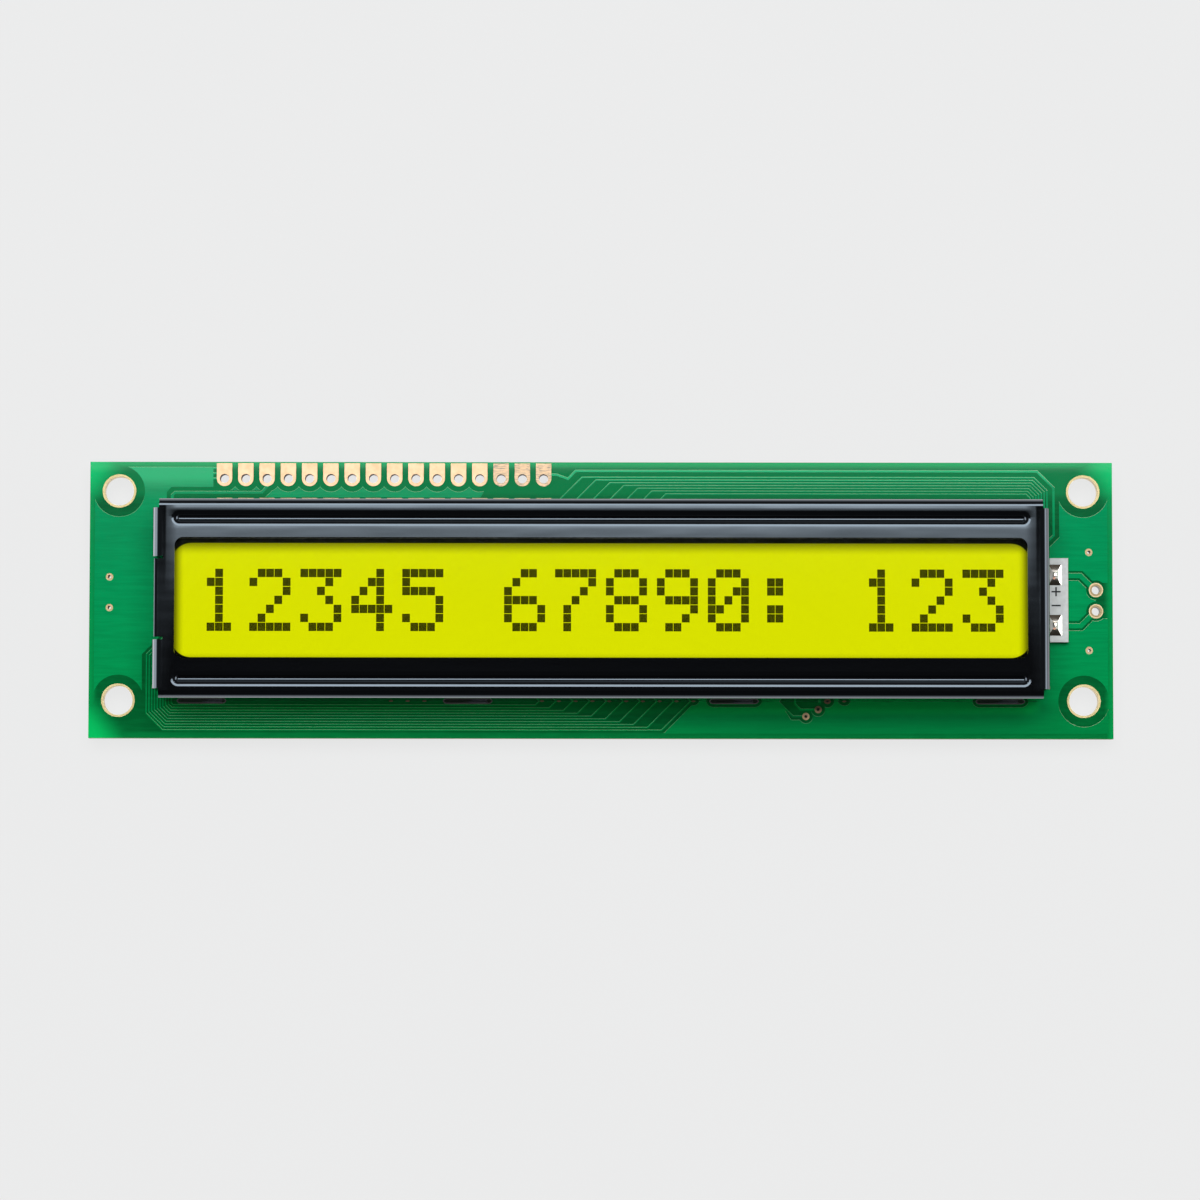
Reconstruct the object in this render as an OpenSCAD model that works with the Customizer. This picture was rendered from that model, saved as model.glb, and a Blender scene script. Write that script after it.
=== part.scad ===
// Character display module with one line of sixteen characters.
// A glass cell and its backlight lie on a circuit board. A folded steel bezel
// clamps them down with tabs that pass through the board and are twisted behind it.
// The board lies flat, its length along X, with the display facing +Z.
// X = Y = 0 is the middle of the board, and Z = 0 is the plane of the tab ends.

/* [Circuit board] */
// Length of the board
board_l = 122; // [116:0.5:134]
// Width of the board
board_w = 33; // [31:0.2:36]
// Thickness of the board
board_t = 1.6; // [1:0.1:2.4]
// Diameter of the mounting holes
mount_hole_d = 3.5; // [2.5:0.1:3.7]
// Distance of the mounting holes from the board's ends
mount_inset = 3.5; // [3.2:0.1:3.8]
// Distance of the far mounting holes from the header edge
mount_far_inset = 3.5; // [3.3:0.1:4]
// Distance of the near mounting holes from the other edge
mount_near_inset = 4.5; // [4.2:0.1:4.8]
// Width of the bare ring round a mounting hole
mount_ring_w = 0.25; // [0.2:0.01:0.4]
// Radius that the copper keeps clear of a mounting hole's centre
mount_clear_r = 3.05; // [2.9:0.05:3.2]

/* [Header] */
// Number of pins that the header takes
pin_count = 16; // [14:1:16]
// Distance from one pin to the next
pin_pitch = 2.54; // [2.4:0.01:2.56]
// Diameter of a plated pin hole
pin_hole_d = 1.1; // [0.8:0.05:1.2]
// Width of a pin's pad
pin_pad_w = 1.83; // [1.5:0.01:1.95]
// Distance of the first pin from the board's left end
header_start = 16.03; // [15.6:0.01:16.4]
// Distance of the pin row from the board's edge
header_inset = 1.98; // [1.8:0.02:2.1]
// Bare board between a pad's end and the board's edge
pad_edge_gap = 0.15; // [0.1:0.01:0.3]
// Radius that the copper fill keeps clear of a pin's centre
pin_clear_r = 1.58; // [1.5:0.01:1.62]
// Width of the spare pads along the bezel
spare_pad_w = 0.32; // [0.2:0.01:0.34]

/* [Copper] */
// Thickness of the copper on both faces
copper_t = 0.05; // [0.03:0.01:0.08]
// Thickness of the plating inside a hole
plating_t = 0.05; // [0.03:0.01:0.07]
// Distance of the copper fill from the board's edge
fill_inset = 0.6; // [0.4:0.05:0.7]
// Distance between the fine traces
bus_pitch = 0.332; // [0.3:0.002:0.334]
// Width of a fine trace
bus_w = 0.15; // [0.12:0.01:0.18]
// Width of the supply trace
supply_w = 0.28; // [0.2:0.01:0.34]
// Width of the contrast trace
contrast_w = 0.33; // [0.25:0.01:0.4]
// Width of the two backlight traces
lamp_trace_w = 0.62; // [0.5:0.02:0.7]
// Gap between a trace and the fill beside it
fill_gap = 0.25; // [0.2:0.01:0.3]
// Diameter of a through connection
via_hole_d = 0.4; // [0.3:0.02:0.45]
// Diameter of a through connection's pad
via_pad_d = 0.87; // [0.7:0.01:0.9]
// Distance between the controller's through connections
via_pitch = 2; // [1.6:0.05:2.4]

/* [Bezel] */
// Bare board at each end of the bezel
bezel_end_gap = 8.2; // [8:0.05:8.5]
// Bare board between the bezel and the header edge
bezel_far_gap = 5.05; // [5:0.01:5.3]
// Bare board between the bezel and the other edge
bezel_near_gap = 4.45; // [4.4:0.01:4.7]
// Height of the bezel's face above the board
bezel_h = 8.6; // [8:0.1:10]
// Thickness of the steel sheet
sheet_t = 0.4; // [0.3:0.02:0.44]
// Inner radius of the bends along the long walls
side_bend_r = 0.45; // [0.2:0.05:0.55]
// Inner radius of the bends at the two ends
end_bend_r = 1; // [0.7:0.05:1.1]
// Bezel between the window and each of its ends
window_end_gap = 2.7; // [2.5:0.1:4]
// Bezel between the window and each of its long sides
window_side_gap = 4.62; // [4.5:0.02:5]
// Radius of the window's corners
window_r = 1; // [0.5:0.1:2]
// Width of a pressed bead
bead_w = 1.86; // [1.7:0.02:1.96]
// How far the beads lie off the middle of their rails, toward the near side
bead_offset = 0.06; // [0:0.01:0.1]
// Depth of a pressed bead
bead_depth = 0.4; // [0.3:0.02:0.44]
// Radius of a bead's upper edges
bead_edge_r = 0.9; // [0.5:0.02:0.96]
// Flat sheet between a bead's end and the end bend
bead_margin = 0.9; // [0.5:0.1:3]
// How far the long walls run past the start of the end bends
wall_overrun = 0.55; // [0.3:0.05:0.8]
// Relief between an end flap and the long wall's bend
corner_relief = 0.25; // [0.15:0.05:0.5]
// Width of the open middle between the two flaps at the left end
flap_gap = 9.8; // [8:0.2:12]
// How far the sheet reaches over the open middle at the left end
tongue_reach = 1.1; // [0.6:0.05:1.3]
// Width of a bezel tab
tab_w = 4.6; // [3.5:0.1:5]
// Distance of the outer tabs from the bezel's ends
tab_end_gap = 5.25; // [5:0.05:5.6]
// Length of a tab behind the board
tab_drop = 2; // [1.9:0.1:3]
// Angle that a tab's end is twisted by
tab_twist = 30; // [20:1:45]
// Length of a tab slot
slot_l = 5.9; // [5.4:0.1:6.1]
// Width of a tab slot
slot_w = 0.95; // [0.86:0.01:1]
// Width of the plated rim round a slot
rim_w = 0.06; // [0.04:0.01:0.08]

/* [Display cell] */
// Thickness of each glass
glass_t = 1.1; // [0.7:0.05:1.15]
// Thickness of a polarizer film
film_t = 0.2; // [0.1:0.02:0.26]
// Gap between the two glasses
cell_gap = 0.05; // [0.03:0.01:0.1]
// Width of the seal between the glasses
seal_w = 1.2; // [0.8:0.1:1.6]
// Free space between the glass and the bezel's walls
glass_play = 0.85; // [0.6:0.05:1.1]
// Free space between the front film and the bezel's beads
film_play = 0.3; // [0.15:0.05:0.5]
// Width of the contact ledge on each long side of the front glass
ledge_w = 2.2; // [2:0.05:2.4]
// Width of a contact strip
strip_w = 1.8; // [1.4:0.05:1.9]
// How much shorter than the glass the contact strips are, at each end
strip_end_gap = 2.05; // [1.8:0.05:3]
// Free space on each side of a contact strip
strip_play = 0.15; // [0.1:0.01:0.2]
// Distance between the gold fingers under a contact strip
finger_pitch = 2; // [1.5:0.1:3]

/* [Backlight] */
// Thickness of the backlight's board
lamp_board_t = 1; // [0.6:0.1:1.4]
// Width of the backlight board's tab
lamp_tab_w = 10; // [9:0.2:11]
// How far the backlight board's tab reaches past the bezel
lamp_tab_reach = 2.8; // [2.4:0.1:3]
// Thickness of the diffuser
diffuser_t = 0.6; // [0.4:0.05:1]
// How deep the diffuser lies below the housing's rim
diffuser_drop = 0.45; // [0.2:0.05:0.8]
// Width of the ledge that the diffuser lies on
diffuser_ledge = 0.8; // [0.5:0.1:1.2]
// Free space round the diffuser
diffuser_play = 0.1; // [0.05:0.01:0.15]
// How much narrower than the window the light opening is, on each side
light_inset = 0.34; // [0.2:0.01:0.6]
// Corner radius of the light opening
light_r = 2.4; // [2:0.1:3]
// Diameter of the two backlight pins
lamp_pin_d = 0.6; // [0.4:0.05:0.7]
// Distance between the two backlight pins
lamp_pin_pitch = 6; // [5.6:0.1:6.4]
// Diameter of the two backlight terminal holes
lamp_hole_d = 1; // [0.8:0.05:1.1]
// Diameter of the two backlight terminal pads
lamp_pad_d = 1.71; // [1.5:0.01:1.8]
// Distance between the two backlight terminal holes
lamp_hole_pitch = 2.54; // [2.4:0.02:2.7]
// Distance of the backlight terminals from the board's end
lamp_hole_inset = 2; // [1.8:0.05:2.2]
// Side of a backlight solder joint
solder_side = 2.42; // [2:0.02:2.6]
// Height of a solder joint
solder_h = 0.9; // [0.6:0.05:1.2]

/* [Behind the board] */
// Radius of the controller's resin cap
controller_r = 7.5; // [6.5:0.1:8]
// Radius of the driver's resin cap
driver_r = 6.5; // [6:0.1:7]
// Place of the driver along the board
driver_x = 2; // [1:0.1:3]
// Distance between the chips of a column
chip_pitch = 3; // [2.6:0.1:3.2]
// Height of the resin caps
resin_h = 1.4; // [1:0.05:1.6]
// Length of a chip resistor or capacitor
chip_l = 2; // [1.6:0.05:2.2]
// Width of a chip resistor or capacitor
chip_w = 1.25; // [0.9:0.05:1.4]
// Height of a chip resistor or capacitor
chip_h = 0.5; // [0.35:0.05:0.7]

/* [Hidden] */
$fn = 48;

// Heights of the board's faces and of what lies on them
board_z0 = tab_drop;
board_z1 = board_z0 + board_t;
face_z = board_z1 + copper_t;
rear_z = board_z0 - copper_t;

// Heights in the stack under the bezel, from its face down
bezel_z1 = board_z1 + bezel_h;
sheet_z0 = bezel_z1 - sheet_t;
front_glass_z1 = sheet_z0 - bead_depth;
front_glass_z0 = front_glass_z1 - glass_t;
rear_glass_z1 = front_glass_z0 - cell_gap;
rear_glass_z0 = rear_glass_z1 - glass_t;
rear_film_z0 = rear_glass_z0 - film_t;
diffuser_z1 = rear_film_z0 - diffuser_drop;
diffuser_z0 = diffuser_z1 - diffuser_t;
lamp_board_z1 = face_z + lamp_board_t;

// Bezel plan, measured from the bezel's own middle
bezel_l = board_l - 2 * bezel_end_gap;
bezel_w = board_w - bezel_far_gap - bezel_near_gap;
bezel_shift = (bezel_near_gap - bezel_far_gap) / 2;
window_l = bezel_l - 2 * window_end_gap;
window_w = bezel_w - 2 * window_side_gap;
tab_pitch = (bezel_l - 2 * tab_end_gap) / 3;
wall_y = (bezel_w - sheet_t) / 2;
flat_y = bezel_w / 2 - sheet_t - side_bend_r;
flat_x = bezel_l / 2 - sheet_t - end_bend_r;
wall_x = flat_x + wall_overrun;
flap_y = flat_y - corner_relief;
tongue_gap = 0.3;
bead_y = (window_w + bezel_w) / 4;
bead_x = flat_x - bead_margin - bead_w / 2;
lamp_notch_h = lamp_board_t + 1.2;
lamp_notch_play = 0.6;

// A bead's section is two arcs that meet at this angle
bead_floor_r = (pow(bead_w / 2, 2) + pow(bead_depth, 2)) / (2 * bead_depth) - bead_edge_r;
bead_angle = asin(bead_w / 2 / (bead_floor_r + bead_edge_r));
bead_steps = 6;
twist_steps = 5;

// Plan of the glasses, strips and backlight, about the bezel's middle
front_glass_l = bezel_l - 2 * (sheet_t + glass_play);
front_glass_w = bezel_w - 2 * (sheet_t + glass_play);
rear_glass_w = front_glass_w - 2 * ledge_w;
front_film_w = 2 * (bead_y - bead_offset - bead_w / 2 - film_play);
film_margin = 0.5;
strip_y = rear_glass_w / 2 + strip_play + strip_w / 2;
strip_l = front_glass_l - 2 * strip_end_gap;
housing_l = front_glass_l - 2;
housing_w = rear_glass_w - 0.2;
light_l = window_l + 0.3;
light_w = window_w - 2 * light_inset;
lamp_tab_x = bezel_l / 2 + lamp_tab_reach;
lamp_pin_x = bezel_l / 2 + 1.2;
led_count = 16;
led_side = 0.4;
led_h = 0.2;

// Middle lines of the bezel's long walls, on the board
far_wall_y = bezel_shift + wall_y;
near_wall_y = bezel_shift - wall_y;

// Places of the plated holes on the board
mount_x = board_l / 2 - mount_inset;
mount_far_y = board_w / 2 - mount_far_inset;
mount_near_y = mount_near_inset - board_w / 2;
header_y = board_w / 2 - header_inset;
header_x = pin_x((pin_count - 1) / 2);
last_pin_x = pin_x(pin_count - 1);
lamp_hole_x = board_l / 2 - lamp_hole_inset;
far_row_y = far_wall_y - 0.12;
near_row_y = near_wall_y + 0.12;
left_via_x = 2.4 - board_l / 2;
right_via_x = board_l / 2 - 2.83;
inner_slot_start = (tab_pitch - slot_l) / 2;
inner_slot_end = (tab_pitch + slot_l) / 2;
far_via_x = last_pin_x + 1.02;
far_via_pitch = (inner_slot_start - far_via_x) / 9.375;
near_via_x = inner_slot_start - 1.9;
near_via_pitch = inner_slot_start / 6.45;
signal_via_x = inner_slot_end + 5.6;
spare_pad_y = far_wall_y + slot_w / 2 + rim_w + 0.08;
signal_vias = [
    [signal_via_x, near_row_y - 2.11], [signal_via_x + 1.46, near_row_y - 1.29],
    [signal_via_x + 2.57, near_row_y - 0.22]
];
ground_via = [signal_via_x + 4.57, near_row_y];

// Places of the traces
far_bus_count = 7;
near_bus_count = 10;
far_bus_y = board_w / 2 - 1.8;
far_bus_x = bezel_l / 2 + 0.42;
far_bus_foot = far_wall_y - 3.25;
supply_y = board_w / 2 - 1.04;
supply_x = bezel_l / 2 + 1.2;
near_bus_y = near_wall_y - slot_w / 2 - rim_w - 0.07 - bus_w / 2;
near_bus_x = -bezel_l / 2 - 1.33;
near_bus_top = near_wall_y + 5.35;
contrast_y = header_y - 1.67;
contrast_x = -flat_x + 0.2;
fill_x = board_l / 2 - fill_inset;
fill_y = board_w / 2 - fill_inset;
tie_l = 0.42;

// Places of the parts behind the board
controller_x = header_x;
cap_y = bezel_shift - 0.7;
lamp_chip_x = lamp_hole_x - 17;
timing_chip_x = 10.8 - bezel_l / 2;
chip_end_l = 0.35;
chip_pad_l = 1.1;
chip_foot = chip_l / 2 + 0.1 + chip_pad_l / 2;

function pin_x(i) = header_start - board_l / 2 + i * pin_pitch;
function mount_centres() = [for (x = [-mount_x, mount_x], y = [mount_near_y, mount_far_y]) [x, y]];
function slot_centres() = [for (i = [0:3], y = [near_wall_y, far_wall_y]) [(i - 1.5) * tab_pitch, y]];
function lamp_hole_centres() = [for (side = [-1, 1]) [lamp_hole_x, side * lamp_hole_pitch / 2]];
function lamp_pin_centres() = [for (side = [-1, 1]) [lamp_pin_x, side * lamp_pin_pitch / 2]];
function near_via(k) = [near_via_x - k * near_via_pitch, near_row_y];
function far_via(k) = [far_via_x + k * far_via_pitch, far_row_y];
function controller_via(k) = [-inner_slot_end - 2.2 - k * via_pitch, near_row_y];
function edge_vias() = [[left_via_x, 2.72], [left_via_x, -0.95], [right_via_x, 5.79], [right_via_x, -5.94]];
function via_centres() = concat(
    edge_vias(),
    signal_vias,
    [ground_via],
    [for (k = [0:near_bus_count - 1]) near_via(k)],
    [for (k = [0:2]) controller_via(k)],
    [for (k = [0:far_bus_count - 1]) far_via(k)]
);
function chip_centres() = concat(
    [for (side = [-1, 1]) [lamp_chip_x, side * lamp_hole_pitch / 2]],
    [for (i = [-2:1]) [timing_chip_x, cap_y + i * chip_pitch]]
);

// Outline of a strip of constant width along a line of points
function unit(v) = v / norm(v);
function side_of(a, b) = [a[1] - b[1], b[0] - a[0]] / norm(b - a);
function corner_side(p, i) =
    i == 0 ? side_of(p[0], p[1]) :
    i == len(p) - 1 ? side_of(p[i - 1], p[i]) :
    let (a = side_of(p[i - 1], p[i]), b = side_of(p[i], p[i + 1])) (a + b) / (1 + a * b);
module trace(p, w) {
    last = len(p) - 1;
    polygon(concat(
        [for (i = [0:last]) p[i] + corner_side(p, i) * w / 2],
        [for (i = [last:-1:0]) p[i] - corner_side(p, i) * w / 2]
    ));
}

// Flat shapes that several parts share
module slot_shape(l, w) {
    square([l - w, w], center = true);
    for (side = [-1, 1]) translate([side * (l - w) / 2, 0]) circle(d = w);
}
module rounded_shape(l, w, r) {
    square([l - 2 * r, w], center = true);
    square([l, w - 2 * r], center = true);
    for (sx = [-1, 1], sy = [-1, 1]) translate([sx * (l / 2 - r), sy * (w / 2 - r)]) circle(r = r);
}
module ring_sector(r_in, r_out, from, to) {
    reach = 3 * r_out;
    intersection() {
        difference() {
            circle(r = r_out);
            circle(r = r_in);
        }
        polygon([[0, 0], reach * [cos(from), sin(from)], reach * [cos(to), sin(to)]]);
    }
}
module pin_pad_shape() {
    circle(d = pin_pad_w);
    translate([-pin_pad_w / 2, 0]) square([pin_pad_w, header_inset - pad_edge_gap]);
}
module at_each(places) {
    for (p = places) translate([p[0], p[1], 0]) children();
}

// A plated hole with a ring of copper on both faces
module plated_hole(hole_d, pad_d) {
    difference() {
        union() {
            for (z = [rear_z, board_z1]) translate([0, 0, z]) cylinder(d = pad_d, h = copper_t);
            translate([0, 0, board_z0]) cylinder(d = hole_d + 2 * plating_t, h = board_t);
        }
        translate([0, 0, rear_z - 1]) cylinder(d = hole_d, h = board_t + 2 * copper_t + 2);
    }
}
module drill(d) {
    translate([0, 0, board_z0 - 1]) cylinder(d = d, h = board_t + 2);
}

module circuit_board() {
    color("seagreen") difference() {
        translate([-board_l / 2, -board_w / 2, board_z0]) cube([board_l, board_w, board_t]);
        at_each(mount_centres()) drill(mount_hole_d + 2 * plating_t);
        for (i = [0:pin_count - 1]) translate([pin_x(i), header_y, 0]) drill(pin_hole_d + 2 * plating_t);
        at_each(lamp_hole_centres()) drill(lamp_hole_d + 2 * plating_t);
        at_each(lamp_pin_centres()) drill(lamp_pin_d);
        at_each(via_centres()) drill(via_hole_d + 2 * plating_t);
        at_each(slot_centres()) translate([0, 0, board_z0 - 1])
            linear_extrude(board_t + 2) slot_shape(slot_l, slot_w);
    }
}

// Copper fill at the left end, cut away round the mounting holes
module left_fill() {
    edge_x = pin_x(0) - pin_pad_w / 2 - tie_l;
    inner_x = contrast_x - 0.65;
    bus_x = near_bus_x - 0.54;
    difference() {
        polygon([
            [-mount_x, fill_y], [edge_x, fill_y], [edge_x, contrast_y + 0.62],
            [contrast_x - 0.1, contrast_y + 0.62], [inner_x, contrast_y],
            [inner_x, near_bus_top + inner_x - bus_x], [bus_x, near_bus_top], [bus_x, mount_near_y],
            [-fill_x, mount_near_y], [-fill_x, mount_far_y], [-mount_x, mount_far_y]
        ]);
        for (p = mount_centres()) translate(p) circle(r = mount_clear_r);
        for (p = edge_vias()) translate(p) circle(d = via_pad_d);
    }
}

// Short ties from the first pin to the left fill
module first_pin_ties() {
    for (i = [0:2]) translate([pin_x(0) - pin_pad_w / 2 - tie_l, header_y - 0.1 + i * 0.62])
        square([tie_l, 0.2]);
}

// Copper fill between the header and the bezel
module header_fill() {
    left_x = pin_x(2) - 0.25;
    right_x = pin_x(12) + 0.9;
    top_y = header_y - 0.75;
    under_y = spare_pad_y + spare_pad_w + 0.07;
    difference() {
        union() {
            polygon([
                [left_x, under_y], [left_x + top_y - under_y, top_y],
                [right_x, top_y], [right_x - 0.8, under_y]
            ]);
            translate([pin_x(0) + 0.5, contrast_y + contrast_w / 2 + 0.08])
                square([2 * pin_pitch - 1.1, top_y - contrast_y - contrast_w / 2 - 0.08]);
        }
        for (i = [0:pin_count - 1]) translate([pin_x(i), header_y]) circle(r = pin_clear_r);
    }
}

// Copper fill at the right end and along the near edge
module right_fill() {
    top_x = supply_x + 0.66;
    start = near_via(0) + [1.4, 0.8];
    foot_x = flat_x + 0.4;
    foot_y = far_bus_foot - 0.4;
    route_y = near_row_y - 2.51;
    difference() {
        polygon([
            start, start - (start[1] + fill_y) * [1, 1], [fill_x, -fill_y], [fill_x, mount_far_y],
            [top_x, mount_far_y], [top_x, foot_y], [foot_x, foot_y - top_x + foot_x], [foot_x, start[1]]
        ]);
        for (p = mount_centres()) translate(p) circle(r = mount_clear_r);
        for (p = slot_centres()) translate(p) slot_shape(slot_l + 0.8, slot_w + 0.8);
        for (p = edge_vias()) translate(p) circle(d = via_pad_d);
        translate(near_via(0)) circle(d = via_pad_d + 0.7);
        for (p = concat(signal_vias, [ground_via])) translate(p) circle(d = via_pad_d + 0.75);
        polygon([
            [signal_via_x - 4.5, start[1] + 1], [signal_via_x - 1.75, route_y], [signal_via_x, route_y],
            [signal_via_x + 3, start[1] + 1]
        ]);
        for (side = [-1, 1]) trace(lamp_route(side), lamp_trace_w + 2 * fill_gap);
        for (p = lamp_hole_centres()) translate(p) circle(d = lamp_pad_d + 0.6);
        translate([lamp_hole_x, -lamp_hole_pitch / 2 - 0.85]) square([board_l, lamp_hole_pitch + 1.7]);
    }
}

// Ground copper under the backlight
module middle_fill() {
    translate([0, bezel_shift]) square([strip_l - 1, housing_w - 2.4], center = true);
}

function lamp_route(side) = [
    [lamp_pin_x - 0.9, side * lamp_pin_pitch / 2],
    [lamp_hole_x - 0.1 - (lamp_pin_pitch - lamp_hole_pitch) / 2, side * lamp_pin_pitch / 2],
    [lamp_hole_x - 0.1, side * lamp_hole_pitch / 2]
];
module lamp_trace(side) {
    difference() {
        trace(lamp_route(side), lamp_trace_w);
        for (p = lamp_hole_centres()) translate(p) circle(d = lamp_pad_d);
        for (p = lamp_pin_centres()) translate(p) circle(d = lamp_pin_d);
    }
}

// The traces along the near edge, the outermost one first
module near_bus_trace(k) {
    x = near_bus_x + k * bus_pitch;
    y = near_bus_y - (near_bus_count - 1 - k) * bus_pitch;
    turn = 1.98 - 0.198 * k;
    up_y = near_bus_top - 0.41 * bus_pitch * k;
    via = near_via(k);
    difference() {
        trace([
            [x + 2.2, up_y + 2.2], [x, up_y], [x, y + turn], [x + turn, y],
            [via[0] - via[1] + y, y], via
        ], bus_w);
        translate(via) circle(d = via_pad_d);
    }
}

// The traces along the far edge, the outermost one first
module far_bus_trace(k) {
    x = far_bus_x - k * bus_pitch;
    y = far_bus_y - k * bus_pitch;
    turn = 1.55 - 0.175 * k;
    via = far_via(k);
    difference() {
        trace([via, [via[0] + y - via[1], y], [x - turn, y], [x, y - turn], [x, far_bus_foot]], bus_w);
        translate(via) circle(d = via_pad_d);
    }
}
module supply_trace() {
    pad_x = last_pin_x + pin_pad_w / 2;
    turn = 1.96;
    trace([
        [pad_x, header_y + 0.5], [pad_x + 0.6, header_y + 0.5],
        [pad_x + 2, supply_y - 0.95], [pad_x + 2.9, supply_y],
        [supply_x - turn, supply_y], [supply_x, supply_y - turn],
        [supply_x, far_bus_foot - 0.2], [supply_x - 2.2, far_bus_foot - 2.4]
    ], supply_w);
}
module contrast_trace() {
    difference() {
        trace([
            [pin_x(2), header_y - 0.6], [pin_x(2), header_y - pin_pad_w / 2 - 0.05],
            [pin_x(2) - 0.62, contrast_y], [contrast_x + 0.35, contrast_y],
            [contrast_x, contrast_y - 0.35], [contrast_x, contrast_y - 1.6]
        ], contrast_w);
        translate([pin_x(2), header_y]) pin_pad_shape();
    }
}
module signal_traces() {
    first = signal_vias[0];
    second = signal_vias[1];
    difference() {
        trace([first, first - [1.55, 0], first + [-3.9, 2.35]], bus_w + 0.08);
        translate(first) circle(d = via_pad_d);
    }
    difference() {
        trace([second, second - [2.1, 0], second + [-2.75, 0.65], second + [-2.75, 1.5]], bus_w + 0.08);
        translate(second) circle(d = via_pad_d);
    }
}

module front_copper() {
    color("mediumseagreen") translate([0, 0, board_z1]) {
        linear_extrude(copper_t) left_fill();
        linear_extrude(copper_t) first_pin_ties();
        linear_extrude(copper_t) header_fill();
        linear_extrude(copper_t) right_fill();
        linear_extrude(copper_t) middle_fill();
        linear_extrude(copper_t) supply_trace();
        linear_extrude(copper_t) contrast_trace();
        linear_extrude(copper_t) signal_traces();
        for (side = [-1, 1]) linear_extrude(copper_t) lamp_trace(side);
        for (k = [0:near_bus_count - 1]) linear_extrude(copper_t) near_bus_trace(k);
        for (k = [0:far_bus_count - 1]) linear_extrude(copper_t) far_bus_trace(k);
    }
}

// A trace behind the board from a pad straight to a resin cap's edge
module fan_trace(start, bend_y, centre_x, r, angle) {
    rim = [centre_x + (r + 0.15) * cos(angle), cap_y + (r + 0.15) * sin(angle)];
    trace([start, [start[0], bend_y], rim], bus_w + 0.05);
}
module chip_pad_shapes() {
    for (p = chip_centres(), side = [-1, 1])
        translate([p[0] + side * (chip_l / 2 + 0.1), p[1]]) square([chip_pad_l, chip_w + 0.1], center = true);
}
module rear_copper() {
    pad_foot = header_y - pin_pad_w / 2;
    lamp_y = [header_y - 2.3, header_y - 1.6];
    bend = 2.1;
    color("mediumseagreen") translate([0, 0, rear_z]) {
        for (i = [1:10]) linear_extrude(copper_t)
            fan_trace([pin_x(i), pad_foot], cap_y + 10.6, controller_x, controller_r, 163 - 13.3 * i);
        for (k = [0:2]) linear_extrude(copper_t)
            fan_trace(
                controller_via(k) + [0, via_pad_d / 2], near_row_y + bend,
                controller_x, controller_r, 282 - 8 * k
            );
        for (k = [0:near_bus_count - 1]) linear_extrude(copper_t)
            fan_trace(near_via(k) + [0, via_pad_d / 2], near_row_y + bend, driver_x, driver_r, 325 - 12.2 * k);
        for (k = [0:far_bus_count - 1]) linear_extrude(copper_t)
            fan_trace(far_via(k) - [0, via_pad_d / 2], far_row_y - bend, driver_x, driver_r, 125 - 11.7 * k);
        for (k = [0:9]) linear_extrude(copper_t) link_trace((k - 4.5) * 0.6);
        for (p = chip_centres()) if (p[0] < 0) linear_extrude(copper_t)
            trace([
                [p[0] + chip_foot, p[1]],
                [controller_x - 0.1 - sqrt(pow(controller_r, 2) - pow(p[1] - cap_y, 2)), p[1]]
            ], bus_w);
        for (p = lamp_hole_centres()) linear_extrude(copper_t) difference() {
            trace([p, [lamp_chip_x + chip_foot, p[1]]], 0.5);
            translate(p) circle(d = lamp_pad_d);
        }
        for (k = [0, 1]) linear_extrude(copper_t) {
            y = (k - 0.5) * lamp_hole_pitch;
            x = lamp_chip_x - chip_foot;
            pin = pin_x(pin_count - 2 + k);
            turn_x = x - 5 - k * 0.9;
            trace([
                [x, y], [turn_x, y], [turn_x - lamp_y[k] + y, lamp_y[k]], [pin, lamp_y[k]], [pin, pad_foot]
            ], 0.5);
        }
        linear_extrude(copper_t) chip_pad_shapes();
    }
}
module link_trace(dy) {
    from = controller_x + 0.1 + sqrt(pow(controller_r, 2) - dy * dy);
    to = driver_x - 0.1 - sqrt(pow(driver_r, 2) - dy * dy);
    trace([[from, cap_y + dy], [to, cap_y + dy]], bus_w + 0.05);
}

module header_pads() {
    color("burlywood") for (i = [0:pin_count - 1]) translate([pin_x(i), header_y, 0]) difference() {
        union() {
            for (z = [rear_z, board_z1]) translate([0, 0, z]) linear_extrude(copper_t) pin_pad_shape();
            translate([0, 0, board_z0]) cylinder(d = pin_hole_d + 2 * plating_t, h = board_t);
        }
        translate([0, 0, rear_z - 1]) cylinder(d = pin_hole_d, h = board_t + 2 * copper_t + 2);
    }
}
module mounting_rings() {
    color("burlywood") at_each(mount_centres()) plated_hole(mount_hole_d, mount_hole_d + 2 * mount_ring_w);
}
module terminal_rings() {
    color("burlywood") at_each(lamp_hole_centres()) plated_hole(lamp_hole_d, lamp_pad_d);
}
module vias() {
    color("burlywood") at_each(via_centres()) plated_hole(via_hole_d, via_pad_d);
}
module slot_rims() {
    color("silver") at_each(slot_centres()) difference() {
        union() {
            for (z = [rear_z, board_z1]) translate([0, 0, z]) linear_extrude(copper_t)
                slot_shape(slot_l + 2 * rim_w, slot_w + 2 * rim_w);
            translate([0, 0, board_z0]) linear_extrude(board_t) slot_shape(slot_l, slot_w);
        }
        translate([0, 0, rear_z - 1]) linear_extrude(board_t + 2 * copper_t + 2)
            slot_shape(slot_l - 2 * plating_t, slot_w - 2 * plating_t);
    }
}

// Narrow bare pads beside the bezel's far wall, one below each pin
module spare_pads() {
    color("burlywood") for (i = [0:pin_count - 1])
        translate([pin_x(i) - pin_pad_w / 2, spare_pad_y, board_z1]) cube([pin_pad_w, spare_pad_w, copper_t]);
}

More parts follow.
